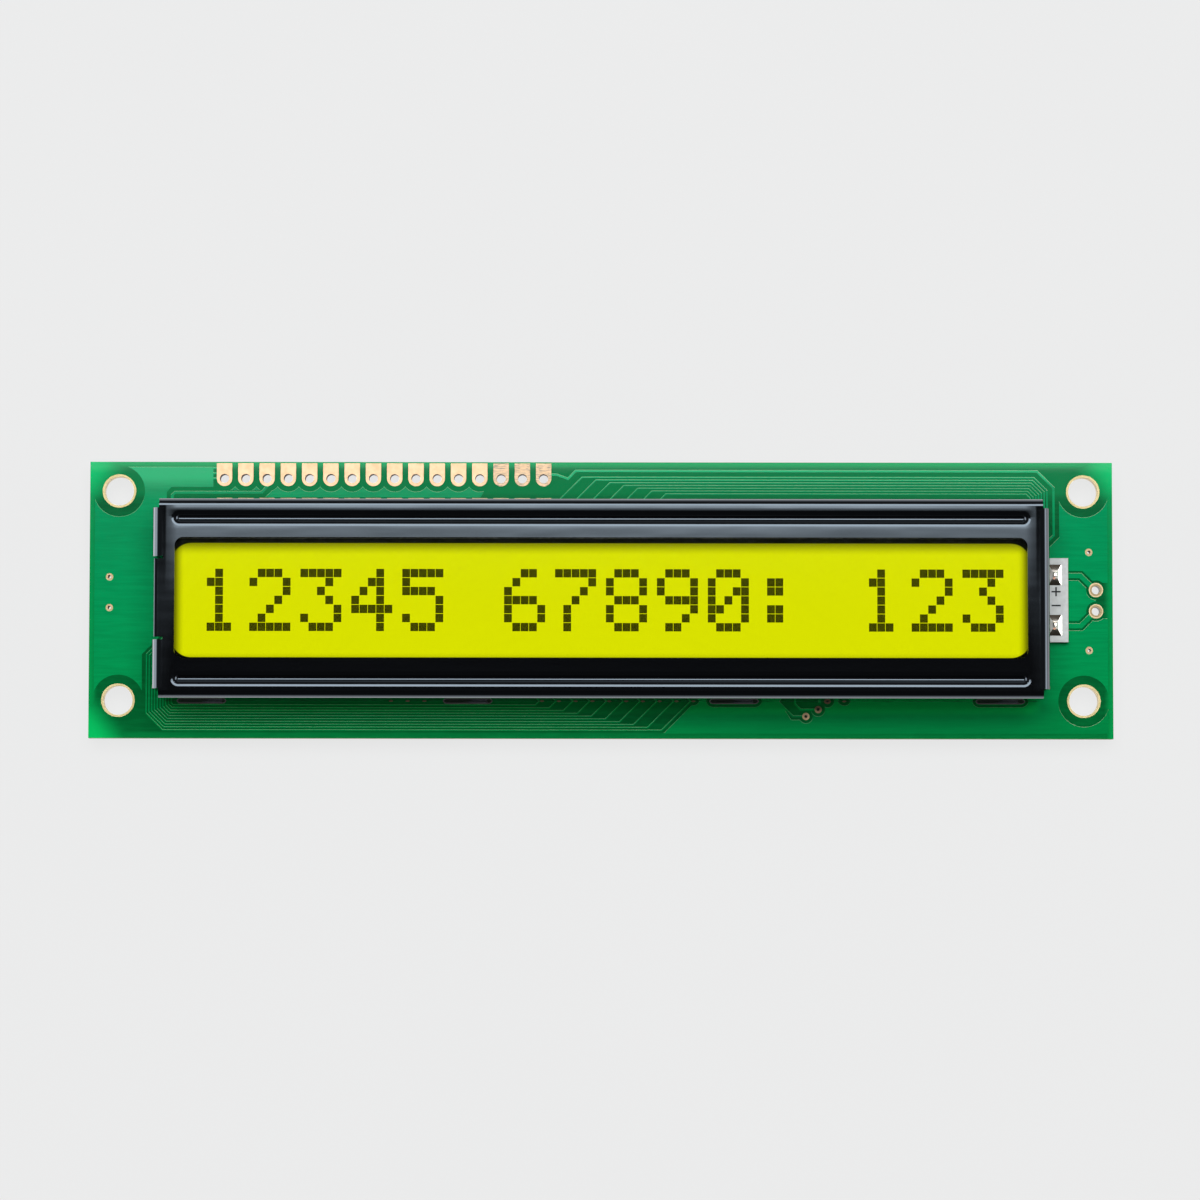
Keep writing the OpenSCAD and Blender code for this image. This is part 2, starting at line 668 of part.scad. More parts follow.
// Gold fingers that the contact strips stand on
module contact_pads() {
    finger_w = 0.9;
    finger_count = floor((strip_l - finger_w) / finger_pitch) + 1;
    color("burlywood") translate([0, bezel_shift, board_z1])
        for (side = [-1, 1], i = [0:finger_count - 1])
            translate([(i - (finger_count - 1) / 2) * finger_pitch, side * strip_y, copper_t / 2])
                cube([finger_w, strip_w, copper_t], center = true);
}

// Section of a bend and of the wall that hangs from it, from the bend's centre
module wall_section(bend_r, wall_h) {
    ring_sector(bend_r, bend_r + sheet_t, 0, 90);
    translate([bend_r, -wall_h]) square([sheet_t, wall_h]);
}

// Half of a bead's section, from its middle to its edge: a hollow that runs into a crest
function arc(centre, r, from, to) = [
    for (i = [0:bead_steps]) let (a = from + (to - from) * i / bead_steps) centre + r * [cos(a), sin(a)]
];
function bead_face(depth) = concat(
    arc([0, bead_floor_r - bead_depth], bead_floor_r + depth, 270, 270 + bead_angle),
    arc([bead_w / 2, -bead_edge_r], bead_edge_r - depth, 90 + bead_angle, 90)
);
module bead_section() {
    upper = bead_face(0);
    lower = bead_face(sheet_t);
    last = len(upper) - 1;
    polygon(concat(upper, [for (i = [last:-1:0]) lower[i]]));
}
module bead() {
    rotate([90, 0, 90]) linear_extrude(2 * bead_x, center = true) {
        bead_section();
        mirror([1, 0]) bead_section();
    }
    for (side = [-1, 1]) translate([side * bead_x, 0, 0])
        rotate([0, 0, -side * 90]) rotate_extrude(angle = 180) bead_section();
}

// The free end of a tab, twisted about its own middle to lock the bezel
module twisted_end() {
    corners = [[-1, -1], [1, -1], [1, 1], [-1, 1]];
    rings = [
        for (i = [0:twist_steps]) let (a = tab_twist * i / twist_steps, z = rear_z * (1 - i / twist_steps))
            for (c = corners) let (x = c[0] * tab_w / 2, y = c[1] * sheet_t / 2)
                [x * cos(a) - y * sin(a), x * sin(a) + y * cos(a), z]
    ];
    top = 4 * twist_steps;
    sides = [
        for (i = [0:4:top - 4]) for (j = [0:3]) let (a = i + j, b = i + (j + 1) % 4)
            for (f = [[a, b + 4, a + 4], [a, b, b + 4]]) f
    ];
    polyhedron(rings, concat([[3, 2, 1, 0]], sides, [[top, top + 1, top + 2, top + 3]]));
}
module face_shape() {
    tongue_w = flap_gap - 2 * tongue_gap;
    difference() {
        union() {
            square([2 * flat_x, 2 * flat_y], center = true);
            for (side = [-1, 1]) translate([0, side * (flat_y - corner_relief / 2)])
                square([2 * wall_x, corner_relief], center = true);
            translate([-flat_x - tongue_reach, -tongue_w / 2]) square([tongue_reach + 1, tongue_w]);
        }
        rounded_shape(window_l, window_w, window_r);
        for (side = [-1, 1]) translate([0, side * bead_y - bead_offset])
            slot_shape(2 * bead_x + bead_w, bead_w);
    }
}
module long_wall() {
    bend_z = sheet_z0 - side_bend_r;
    translate([0, flat_y, bend_z]) rotate([90, 0, 90])
        linear_extrude(2 * wall_x, center = true) wall_section(side_bend_r, bend_z - face_z);
    for (i = [0:3]) translate([(i - 1.5) * tab_pitch, wall_y, 0]) {
        translate([-tab_w / 2, -sheet_t / 2, rear_z]) cube([tab_w, sheet_t, face_z - rear_z]);
        twisted_end();
    }
}
module end_flap(from_y, to_y) {
    bend_z = sheet_z0 - end_bend_r;
    translate([flat_x, to_y, bend_z]) rotate([90, 0, 0])
        linear_extrude(to_y - from_y) wall_section(end_bend_r, bend_z - face_z);
}
module bezel() {
    notch_w = lamp_tab_w + 2 * lamp_notch_play;
    color([0.05, 0.05, 0.055]) translate([0, bezel_shift, 0]) {
        translate([0, 0, sheet_z0]) linear_extrude(sheet_t) face_shape();
        for (side = [-1, 1]) translate([0, side * bead_y - bead_offset, bezel_z1]) bead();
        long_wall();
        mirror([0, 1, 0]) long_wall();
        mirror([1, 0, 0]) {
            end_flap(flap_gap / 2, flap_y);
            end_flap(-flap_y, -flap_gap / 2);
        }
        difference() {
            end_flap(-flap_y, flap_y);
            translate([flat_x, -bezel_shift - notch_w / 2, face_z - 1])
                cube([end_bend_r + 2 * sheet_t, notch_w, lamp_notch_h + 1]);
        }
    }
}

module plate(l, w, z0, z1) {
    translate([-l / 2, bezel_shift - w / 2, z0]) cube([l, w, z1 - z0]);
}
module front_polarizer() {
    color([0.8, 0.85, 0.6, 0.5])
        plate(front_glass_l - 2 * film_margin, front_film_w, front_glass_z1, front_glass_z1 + film_t);
}
module front_glass() {
    color([0.8, 0.9, 0.85, 0.4]) plate(front_glass_l, front_glass_w, front_glass_z0, front_glass_z1);
}
module cell_seal() {
    color("gainsboro") difference() {
        plate(front_glass_l, rear_glass_w, rear_glass_z1, front_glass_z0);
        plate(front_glass_l - 2 * seal_w, rear_glass_w - 2 * seal_w, rear_glass_z1 - 1, front_glass_z0 + 1);
    }
}
module rear_glass() {
    color([0.8, 0.9, 0.85, 0.4]) plate(front_glass_l, rear_glass_w, rear_glass_z0, rear_glass_z1);
}
module rear_polarizer() {
    color("yellowgreen")
        plate(front_glass_l - 2 * film_margin, rear_glass_w - 2 * film_margin, rear_film_z0, rear_glass_z0);
}
module contact_strip(side) {
    translate([-strip_l / 2, bezel_shift + side * strip_y - strip_w / 2, face_z])
        cube([strip_l, strip_w, front_glass_z0 - face_z]);
}
module far_contact_strip() {
    color("dimgray") contact_strip(1);
}
module near_contact_strip() {
    color("dimgray") contact_strip(-1);
}

module backlight_housing() {
    color("white") difference() {
        plate(housing_l, housing_w, lamp_board_z1, rear_film_z0);
        translate([0, bezel_shift, diffuser_z0]) linear_extrude(rear_film_z0)
            rounded_shape(light_l, light_w, light_r);
        translate([0, bezel_shift, 0]) linear_extrude(rear_film_z0)
            rounded_shape(
                light_l - 2 * diffuser_ledge, light_w - 2 * diffuser_ledge, light_r - diffuser_ledge
            );
    }
}
module diffuser() {
    color("greenyellow") translate([0, bezel_shift, diffuser_z0]) linear_extrude(diffuser_t)
        rounded_shape(light_l - 2 * diffuser_play, light_w - 2 * diffuser_play, light_r - diffuser_play);
}
module backlight_board() {
    color("whitesmoke") difference() {
        union() {
            plate(housing_l, housing_w, face_z, lamp_board_z1);
            translate([housing_l / 2 - 1, -lamp_tab_w / 2, face_z])
                cube([lamp_tab_x - housing_l / 2 + 1, lamp_tab_w, lamp_board_t]);
        }
        at_each(lamp_pin_centres()) translate([0, 0, face_z - 1])
            cylinder(d = lamp_pin_d, h = lamp_board_t + 2);
    }
}
module led_dice() {
    spacing = light_l / led_count;
    color("gold") for (i = [0:led_count - 1], side = [-1, 1])
        translate([(i - (led_count - 1) / 2) * spacing, bezel_shift + side * light_w / 4, lamp_board_z1])
            translate([0, 0, led_h / 2]) cube([led_side, led_side, led_h], center = true);
}
module backlight_pins() {
    stub = 0.45;
    color("peru") at_each(lamp_pin_centres()) translate([0, 0, rear_z - solder_h + 0.1])
        cylinder(d = lamp_pin_d, h = lamp_board_z1 + stub - rear_z + solder_h - 0.1);
}

// Solder climbs a pin in a hollow curve, from a flat foot
module solder_cone(foot_r, h) {
    top_r = lamp_pin_d / 2 + 0.12;
    rise = h - 0.12;
    rotate_extrude() difference() {
        polygon([[lamp_pin_d / 2, 0], [foot_r, 0], [foot_r, 0.12], [top_r, h], [lamp_pin_d / 2, h]]);
        translate([foot_r + 0.25, h + 0.15]) circle(r = min(foot_r - top_r, rise));
    }
}
module terminal_solder() {
    color("silver") at_each(lamp_pin_centres()) {
        translate([0, 0, lamp_board_z1]) intersection() {
            solder_cone(solder_side * 0.72, solder_h);
            translate([-solder_side / 2, -solder_side / 2, 0]) cube([solder_side, solder_side, solder_h]);
        }
        translate([0, 0, board_z0]) mirror([0, 0, 1]) solder_cone(0.95, solder_h);
    }
}

module resin_cap(r, h) {
    sphere_r = (r * r + h * h) / (2 * h);
    intersection() {
        translate([0, 0, sphere_r - h]) sphere(r = sphere_r, $fn = 120);
        translate([0, 0, -h]) cylinder(r = r, h = h);
    }
}
module controller_cap() {
    color([0.07, 0.07, 0.08]) translate([controller_x, cap_y, board_z0]) resin_cap(controller_r, resin_h);
}
module driver_cap() {
    color([0.07, 0.07, 0.08]) translate([driver_x, cap_y, board_z0]) resin_cap(driver_r, resin_h);
}
module chip_bodies() {
    color([0.1, 0.1, 0.12]) at_each(chip_centres()) translate([0, 0, rear_z - chip_h / 2])
        cube([chip_l - 2 * chip_end_l, chip_w, chip_h], center = true);
}
module chip_ends() {
    color("silver") at_each(chip_centres()) for (side = [-1, 1])
        translate([side * (chip_l - chip_end_l) / 2, 0, rear_z - chip_h / 2])
            cube([chip_end_l, chip_w, chip_h], center = true);
}

circuit_board();
front_copper();
rear_copper();
header_pads();
mounting_rings();
terminal_rings();
vias();
slot_rims();
spare_pads();
contact_pads();
bezel();
front_polarizer();
front_glass();
cell_seal();
rear_glass();
rear_polarizer();
far_contact_strip();
near_contact_strip();
backlight_housing();
diffuser();
backlight_board();
led_dice();
backlight_pins();
terminal_solder();
controller_cap();
driver_cap();
chip_bodies();
chip_ends();
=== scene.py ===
import math

import bmesh
import bpy
from mathutils import Matrix, Vector


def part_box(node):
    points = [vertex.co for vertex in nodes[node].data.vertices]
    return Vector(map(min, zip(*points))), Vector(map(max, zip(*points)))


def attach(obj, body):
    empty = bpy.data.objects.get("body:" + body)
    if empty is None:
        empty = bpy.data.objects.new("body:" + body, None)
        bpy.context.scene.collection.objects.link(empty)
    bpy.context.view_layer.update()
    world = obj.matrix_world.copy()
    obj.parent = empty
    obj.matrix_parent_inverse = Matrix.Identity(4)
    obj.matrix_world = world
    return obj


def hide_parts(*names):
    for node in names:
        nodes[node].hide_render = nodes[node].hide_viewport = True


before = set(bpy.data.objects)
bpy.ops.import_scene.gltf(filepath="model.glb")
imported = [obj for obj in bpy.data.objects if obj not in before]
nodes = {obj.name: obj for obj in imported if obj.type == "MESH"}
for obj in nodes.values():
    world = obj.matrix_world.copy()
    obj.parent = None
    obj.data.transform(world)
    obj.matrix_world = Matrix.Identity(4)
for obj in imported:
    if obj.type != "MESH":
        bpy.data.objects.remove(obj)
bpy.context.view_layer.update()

MM = 0.001
scene = bpy.context.scene
scene.view_settings.view_transform = "Standard"
scene.view_settings.look = "None"

BOARD_LO, BOARD_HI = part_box("circuit_board")
_, BEZEL_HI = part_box("bezel")
SEAL_LO, SEAL_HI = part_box("cell_seal")
_, LAMP_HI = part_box("backlight_board")
PIN_LO, PIN_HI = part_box("backlight_pins")
JOINT_LO, JOINT_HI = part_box("terminal_solder")
TERMINAL_LO, TERMINAL_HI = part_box("terminal_rings")

# The bezel's middle, its two long walls, the outer edge of its far bead and its ends
BEZEL_Y = (SEAL_LO.y + SEAL_HI.y) / 2
BEZEL_HALF_W = 11.75 * MM
NEAR_WALL_Y = BEZEL_Y - BEZEL_HALF_W
FAR_WALL_Y = BEZEL_Y + BEZEL_HALF_W
BEAD_EDGE_Y = FAR_WALL_Y - 1.2 * MM
BEZEL_END = BEZEL_HI.x


# ---------------------------------------------------------------- materials

class Nodes:
    """Short ways to add nodes to one tree and to join them."""

    def __init__(self, tree):
        self.tree = tree

    def node(self, kind, **settings):
        made = self.tree.nodes.new(kind)
        for key, value in settings.items():
            setattr(made, key, value)
        return made

    def link(self, source, target):
        self.tree.links.new(source, target)

    def split(self, vector):
        """The X, Y and Z of a vector."""
        made = self.node("ShaderNodeSeparateXYZ")
        self.link(vector, made.inputs[0])
        return made.outputs

    def math(self, op, *values):
        made = self.node("ShaderNodeMath", operation=op)
        for socket, value in zip(made.inputs, values):
            if isinstance(value, (int, float)):
                socket.default_value = value
            else:
                self.link(value, socket)
        return made.outputs[0]

    def plus(self, a, b):
        return self.math("ADD", a, b)

    def minus(self, a, b):
        return self.math("SUBTRACT", a, b)

    def times(self, a, b):
        return self.math("MULTIPLY", a, b)

    def size(self, a):
        return self.math("ABSOLUTE", a)

    def larger(self, a, b):
        return self.math("MAXIMUM", a, b)

    def above(self, a, b):
        """1 where a is more than b, else 0."""
        return self.math("GREATER_THAN", a, b)

    def below(self, a, b):
        """1 where a is less than b, else 0."""
        return self.math("LESS_THAN", a, b)

    def distance(self, a, b):
        return self.math("SQRT", self.plus(self.times(a, a), self.times(b, b)))

    def span(self, value, low, high, to_low=0.0, to_high=1.0, smooth=True):
        """A ramp from to_low where the value is low to to_high where it is high, level outside them."""
        made = self.node("ShaderNodeMapRange", interpolation_type="SMOOTHSTEP" if smooth else "LINEAR")
        self.link(value, made.inputs["Value"])
        for key, number in zip(("From Min", "From Max", "To Min", "To Max"), (low, high, to_low, to_high)):
            made.inputs[key].default_value = number
        return made.outputs[0]


class Look(Nodes):
    """A node material around one Principled shader."""

    def __init__(self, name, **settings):
        self.mat = bpy.data.materials.new(name)
        self.mat.use_nodes = True
        super().__init__(self.mat.node_tree)
        self.shader = self.tree.nodes["Principled BSDF"]
        self.place = self.node("ShaderNodeTexCoord").outputs["Object"]
        for key, value in settings.items():
            self.shader.inputs[key.replace("_", " ")].default_value = value

    def axis(self, letter):
        """A place on the object along one axis, in metres."""
        return self.split(self.place)[letter]

    def normal(self):
        return self.node("ShaderNodeNewGeometry").outputs["Normal"]

    def facing(self, letter):
        return self.split(self.normal())[letter]

    def upright(self):
        """1 on walls and cut edges, 0 on level surfaces."""
        return self.below(self.size(self.facing("Z")), 0.5)

    def noise(self, per_mm=(1, 1, 1), detail=3.0, rough=0.55):
        mapping = self.node("ShaderNodeMapping")
        mapping.inputs["Scale"].default_value = tuple(count / MM for count in per_mm)
        self.link(self.place, mapping.inputs["Vector"])
        tex = self.node("ShaderNodeTexNoise")
        tex.inputs["Scale"].default_value = 1.0
        tex.inputs["Detail"].default_value = detail
        tex.inputs["Roughness"].default_value = rough
        self.link(mapping.outputs[0], tex.inputs["Vector"])
        return tex.outputs["Fac"]

    def mix(self, factor, first, second):
        made = self.node("ShaderNodeMix", data_type="RGBA")
        self.link(factor, made.inputs[0])
        for socket, value in ((made.inputs[6], first), (made.inputs[7], second)):
            if isinstance(value, tuple):
                socket.default_value = (*value, 1.0)
            else:
                self.link(value, socket)
        return made.outputs[2]

    def lean(self, slope, slope_x=None, least=0.9998):
        """The normal, leaned towards +Y and +X by small slopes where its height is above least."""
        level = self.above(self.facing("Z"), least)
        push = self.node("ShaderNodeCombineXYZ")
        self.link(self.times(slope, level), push.inputs["Y"])
        if slope_x is not None:
            self.link(self.times(slope_x, level), push.inputs["X"])
        leaned = self.node("ShaderNodeVectorMath", operation="ADD")
        self.link(self.normal(), leaned.inputs[0])
        self.link(push.outputs[0], leaned.inputs[1])
        unit = self.node("ShaderNodeVectorMath", operation="NORMALIZE")
        self.link(leaned.outputs[0], unit.inputs[0])
        return unit.outputs[0]

    def bump(self, height, strength=0.2, distance=0.02 * MM, normal=None):
        made = self.node("ShaderNodeBump")
        made.inputs["Strength"].default_value = strength
        made.inputs["Distance"].default_value = distance
        self.link(height, made.inputs["Height"])
        if normal is not None:
            self.link(normal, made.inputs["Normal"])
        self.link(made.outputs[0], self.shader.inputs["Normal"])

    def set(self, **sources):
        for key, source in sources.items():
            self.link(source, self.shader.inputs[key.replace("_", " ")])
        return self.mat


def dress(look, *names):
    for name in names:
        obj = nodes[name]
        obj.data.materials.clear()
        obj.data.materials.append(look)


# Painted light: the paler green of light showing through the laminate near the board's edges
PAINTED_RESIST_GLOW = (0.002, 0.43, 0.115)


def painted_bluer_light(look, tone, blue_near, blue_far):
    """The resist's colour under a painted bluer light, its share of blue growing towards the header."""
    parts = look.node("ShaderNodeSeparateColor")
    look.link(tone, parts.inputs[0])
    red, green, _ = parts.outputs
    share = look.span(look.axis("Y"), BOARD_LO.y, BOARD_HI.y, blue_near, blue_far, False)
    joined = look.node("ShaderNodeCombineColor")
    for source, target in zip((red, green, look.times(green, share)), joined.inputs):
        look.link(source, target)
    return joined.outputs[0]


def painted_light_beside_bezel(look, tone, painted_lit_tone):
    """The resist's colour with painted light: paler in a narrow strip along the bezel's near wall."""
    y = look.axis("Y")
    strip = look.times(look.span(y, NEAR_WALL_Y - 1.95 * MM, NEAR_WALL_Y - 0.65 * MM), look.below(y, 0.0))
    inward = look.span(look.size(look.axis("X")), BEZEL_END - 2.3 * MM, BEZEL_END, 1.0, 0.0)
    return look.mix(look.times(strip, inward), tone, painted_lit_tone)


def edge_distances(look):
    """How far a place lies from the board's nearest short edge and nearest long edge."""
    edge_x = look.minus(BOARD_HI.x, look.size(look.axis("X")))
    edge_y = look.minus(BOARD_HI.y, look.size(look.axis("Y")))
    return edge_x, edge_y


def painted_corner_glow(look, edge_x, edge_y):
    """Painted glow: 1 at the board's corners and 0 a few millimetres away, with the near right corner left
    out.
    """
    glow = look.span(look.plus(edge_x, look.times(edge_y, 0.8)), 0.8 * MM, 5.6 * MM, 1.0, 0.0)
    near_right = look.times(look.above(look.axis("X"), 0.0), look.below(look.axis("Y"), 0.0))
    return look.times(glow, look.minus(1.0, near_right))


def board_green():
    """Green solder resist over bare laminate, with painted glow along its edges and painted light by the
    header and bezel.
    """
    look = Look("board_green", Specular_IOR_Level=0.1)
    y = look.axis("Y")
    grain = look.noise((0.35, 2.2, 1), 5)
    tone = look.mix(look.span(grain, 0.35, 0.65), (0.0002, 0.090, 0.030), (0.0004, 0.112, 0.038))
    # Painted light: paler towards the header
    painted_light_header_side = look.span(y, FAR_WALL_Y + 0.35 * MM, FAR_WALL_Y + 1.55 * MM)
    tone = look.mix(painted_light_header_side, tone, (0.0008, 0.158, 0.058))
    # Painted glow along the board's ends and long edges and at its corners
    edge_x, edge_y = edge_distances(look)
    end_strip = look.span(edge_x, 0.2 * MM, 1.2 * MM, 0.42, 0.0)
    far_strip = look.times(look.span(edge_y, 0.2 * MM, 0.9 * MM, 0.5, 0.0), look.above(y, 0.0))
    near_strip = look.times(look.span(edge_y, 0.5 * MM, 0.9 * MM, 0.16, 0.0), look.below(y, 0.0))
    strips = look.larger(end_strip, look.larger(far_strip, near_strip))
    tone = look.mix(look.larger(strips, painted_corner_glow(look, edge_x, edge_y)), tone, PAINTED_RESIST_GLOW)
    tone = painted_bluer_light(look, tone, 0.22, 0.29)
    tone = painted_light_beside_bezel(look, tone, (0.0004, 0.215, 0.040))
    cut = look.upright()
    fibre = look.mix(look.noise((1, 1, 9), 3), (0.20, 0.26, 0.13), (0.34, 0.36, 0.22))
    sag = look.span(y, BOARD_HI.y - 1.5 * MM, BOARD_HI.y - 0.5 * MM, -0.02, -0.008)
    look.bump(look.noise((3, 3, 3), 3), 0.03, normal=look.lean(sag))
    return look.set(Base_Color=look.mix(cut, tone, fibre), Roughness=look.span(cut, 0.0, 1.0, 0.1, 0.95))


def masked_copper():
    """Copper under the same resist: a little paler, with faint drag lines, painted highlights on edges facing
    the far side, and painted light and shade.
    """
    look = Look("masked_copper", Roughness=0.1, Specular_IOR_Level=0.1)
    x = look.axis("X")
    y = look.axis("Y")
    drag = look.noise((0.25, 3.4, 1), 6, 0.6)
    tone = look.mix(look.span(drag, 0.3, 0.7), (0.0002, 0.218, 0.068), (0.0004, 0.262, 0.084))
    # Painted light: paler towards the header
    painted_light_header_side = look.span(y, FAR_WALL_Y + 1.95 * MM, FAR_WALL_Y + 3.35 * MM)
    tone = look.mix(painted_light_header_side, tone, (0.0004, 0.340, 0.110))
    # Painted shade: darker on the near side of the bezel's near wall, over the right-hand part
    painted_shade_near_wall = look.times(look.span(y, NEAR_WALL_Y - 0.95 * MM, NEAR_WALL_Y + 0.55 * MM, 0.6, 0.0),
                            look.span(x, -5 * MM, 25 * MM))
    tone = look.mix(painted_shade_near_wall, tone, (0.0002, 0.150, 0.036))
    # Painted glow at the board's corners
    tone = look.mix(look.times(painted_corner_glow(look, *edge_distances(look)), 0.8), tone, PAINTED_RESIST_GLOW)
    tone = painted_bluer_light(look, tone, 0.23, 0.36)
    tone = painted_light_beside_bezel(look, tone, (0.0006, 0.430, 0.074))
    # Painted highlight: pale lines along the edges that face +Y
    rounded = look.node("ShaderNodeBevel", samples=4)
    rounded.inputs["Radius"].default_value = 0.10 * MM
    painted_edge_highlight = look.span(look.split(rounded.outputs[0])["Y"], 0.10, 0.40, 0.0, 0.85)
    pale = look.mix(look.span(x, 50 * MM, 53 * MM), (0.24, 0.46, 0.25), (0.40, 0.50, 0.34))
    tone = look.mix(painted_edge_highlight, tone, pale)
    sag = look.plus(look.span(y, FAR_WALL_Y - 0.65 * MM, FAR_WALL_Y + 3.55 * MM, -0.02, -0.004),
                    look.span(x, BEZEL_END + 0.7 * MM, BEZEL_END + 4.2 * MM, 0.0, -0.010))
    look.bump(drag, 0.03, normal=look.lean(sag))
    return look.set(Base_Color=tone)


def gold(name, bright, scratched=False, wall=(0.10, 0.06, 0.03), green=1.0):
    """Gold plate, mostly dark inside the holes from painted shade, with a few dull scratches on the last
    header pads.
    """
    look = Look(name, Metallic=1.0, Roughness=0.55)
    wear = look.noise((1.2, 1.2, 1.2), 4)
    light = (0.62 * bright, 0.415 * bright * green, 0.262 * bright)
    dark = (0.52 * bright, 0.345 * bright * green, 0.20 * bright)
    tone = look.mix(look.span(wear, 0.3, 0.75), light, dark)
    if scratched:
        dull = (0.24, 0.20, 0.15)
        last_pads = look.span(look.axis("X"), -14.2 * MM, -12.5 * MM)
        lines = look.span(look.noise((1.5, 14, 1), 2), 0.50, 0.60)
        tone = look.mix(look.times(last_pads, 0.18), tone, dull)
        tone = look.mix(look.times(last_pads, lines), tone, dull)
    # The wall tone inside the holes is painted: dark shade by default, painted light where a pale tone is
    # given
    tone = look.mix(look.upright(), tone, wall)
    look.bump(wear, 0.1)
    return look.set(Base_Color=tone)


def tin():
    look = Look("bright_tin", Metallic=1.0)
    dull = look.noise((0.9, 0.9, 0.9), 2)
    tone = look.mix(dull, (0.86, 0.84, 0.81), (0.74, 0.71, 0.67))
    return look.set(Base_Color=tone, Roughness=look.span(dull, 0.3, 0.7, 0.06, 0.16))


def solder_skin():
    """Bright solder with a painted brown reflection low on its far and near flanks, and a small painted
    orange glint by each pin.
    """
    look = Look("solder_skin", Metallic=1.0)
    dull = look.noise((2.2, 2.2, 2.2), 3)
    tone = look.mix(dull, (0.90, 0.86, 0.80), (0.74, 0.69, 0.62))
    # Painted reflection: browner and darker low on the far and near flanks
    painted_flank_reflection = look.times(look.span(look.size(look.facing("Y")), 0.2, 0.4),
                       look.span(look.axis("Z"), LAMP_HI.z, LAMP_HI.z + 0.6 * MM, 1.0, 0.25))
    tone = look.mix(painted_flank_reflection, tone, (0.52, 0.42, 0.32))
    # Painted glint: a small orange spot a little towards -Y of each pin, not metallic where it lies
    pin_r = (PIN_HI.x - PIN_LO.x) / 2
    spot_shift_x = -0.10 * MM
    spot_shift_y = -0.42 * MM
    away_x = look.minus(look.axis("X"), PIN_LO.x + pin_r + spot_shift_x)
    away_y = look.minus(look.size(look.minus(look.axis("Y"), spot_shift_y)), PIN_HI.y - pin_r)
    painted_pin_glint = look.span(look.distance(away_x, away_y), 0.10 * MM, 0.19 * MM, 1.0, 0.0)
    tone = look.mix(painted_pin_glint, tone, (1.0, 0.46, 0.28))
    look.bump(dull, 0.35, 0.05 * MM)
    return look.set(Base_Color=tone, Roughness=look.span(dull, 0.3, 0.7, 0.10, 0.22),
                    Metallic=look.minus(1.0, painted_pin_glint))


def two_tone_terminals():
    """Gold rings, bright at the outer rim and dull brown towards the hole."""
    look = Look("two_tone_terminals", Metallic=1.0, Roughness=0.5)
    ring_r = (TERMINAL_HI.x - TERMINAL_LO.x) / 2
    away_x = look.minus(look.axis("X"), TERMINAL_HI.x - ring_r)
    away_y = look.minus(look.size(look.axis("Y")), TERMINAL_HI.y - ring_r)
    rim = look.span(look.distance(away_x, away_y), ring_r - 0.18 * MM, ring_r - 0.08 * MM)
    grain = look.noise((4, 4, 4), 3)
    tone = look.mix(grain, (0.17, 0.12, 0.065), (0.26, 0.19, 0.10))
    tone = look.mix(rim, tone, (0.40, 0.31, 0.18))
    tone = look.mix(look.upright(), tone, (0.45, 0.42, 0.38))
    look.bump(grain, 0.1)
    return look.set(Base_Color=tone)


def rail_slope(look, along, across):
    """How far the bezel's face leans towards +Y: it is not quite flat beside its far bead and at its ends."""
    outside = look.span(across, BEAD_EDGE_Y - 0.4 * MM, BEAD_EDGE_Y + 0.2 * MM, -0.016, -0.001)
    inside = look.span(across, BEAD_EDGE_Y - 2.5 * MM, BEAD_EDGE_Y - 2.05 * MM, 0.0, 0.0018)
    is_outside = look.above(across, BEAD_EDGE_Y - 1.0 * MM)
    rails = look.plus(look.times(outside, is_outside), look.times(inside, look.minus(1.0, is_outside)))
    rails = look.plus(rails, look.span(across, BEAD_EDGE_Y + 0.3 * MM, BEAD_EDGE_Y + 0.7 * MM, 0.0, -0.006))
    end_rail = look.span(look.size(along), BEZEL_END - 3.1 * MM, BEZEL_END - 1.6 * MM)
    crown = look.math("MULTIPLY_ADD", across, -0.8, -0.0007)
    slope = look.plus(look.times(end_rail, crown), look.times(look.minus(1.0, end_rail), rails))
    end_edge = look.span(look.size(along), BEZEL_END - 1.8 * MM, BEZEL_END - 1.5 * MM, 0.0, -1.1)
    return look.plus(slope, look.times(end_edge, look.larger(across, 0.0)))


def black_lacquer():
    """Gloss black lacquer, dull where the bezel's tabs pass the board."""
    look = Look("black_lacquer", Specular_IOR_Level=0.6, Specular_Tint=(0.75, 0.87, 1.0, 1.0))
    along = look.axis("X")
    tone = look.mix(look.noise((9, 9, 9), 2), (0.0008, 0.0008, 0.0011), (0.0020, 0.0020, 0.0024))
    left_flap = look.span(along, -BEZEL_END + 0.35 * MM, -BEZEL_END + 0.50 * MM, -0.55, 0.0)
    left_bend = look.span(along, -BEZEL_END + 0.60 * MM, -BEZEL_END + 0.90 * MM, -0.20, 0.0)
    slope = rail_slope(look, along, look.axis("Y"))
    leaned = look.lean(slope, look.plus(left_flap, left_bend), 0.93)
    look.bump(look.noise((0.06, 0.3, 0.3), 2), 0.03, 0.12 * MM, leaned)
    rough = look.span(look.axis("Z"), BOARD_HI.z, BOARD_HI.z + 0.6 * MM, 0.8, 0.04)
    return look.set(Base_Color=tone, Roughness=rough)


def clear_pane(name, tint, alpha):
    """Glass or film: clear from the front, with a visible cut edge."""
    look = Look(name, Roughness=0.06, Specular_IOR_Level=0.12)
    tone = look.mix(look.noise((0.5, 0.5, 2), 2), tint, tuple(c * 0.8 for c in tint))
    return look.set(Base_Color=tone, Alpha=look.span(look.upright(), 0.0, 1.0, alpha, 0.8))


LIT_HALF_L = 50.75 * MM
LIT_HALF_W = 6.76 * MM
LIT_CORNER_R = 2.4 * MM
LIT_Y = BEZEL_Y - 0.09 * MM


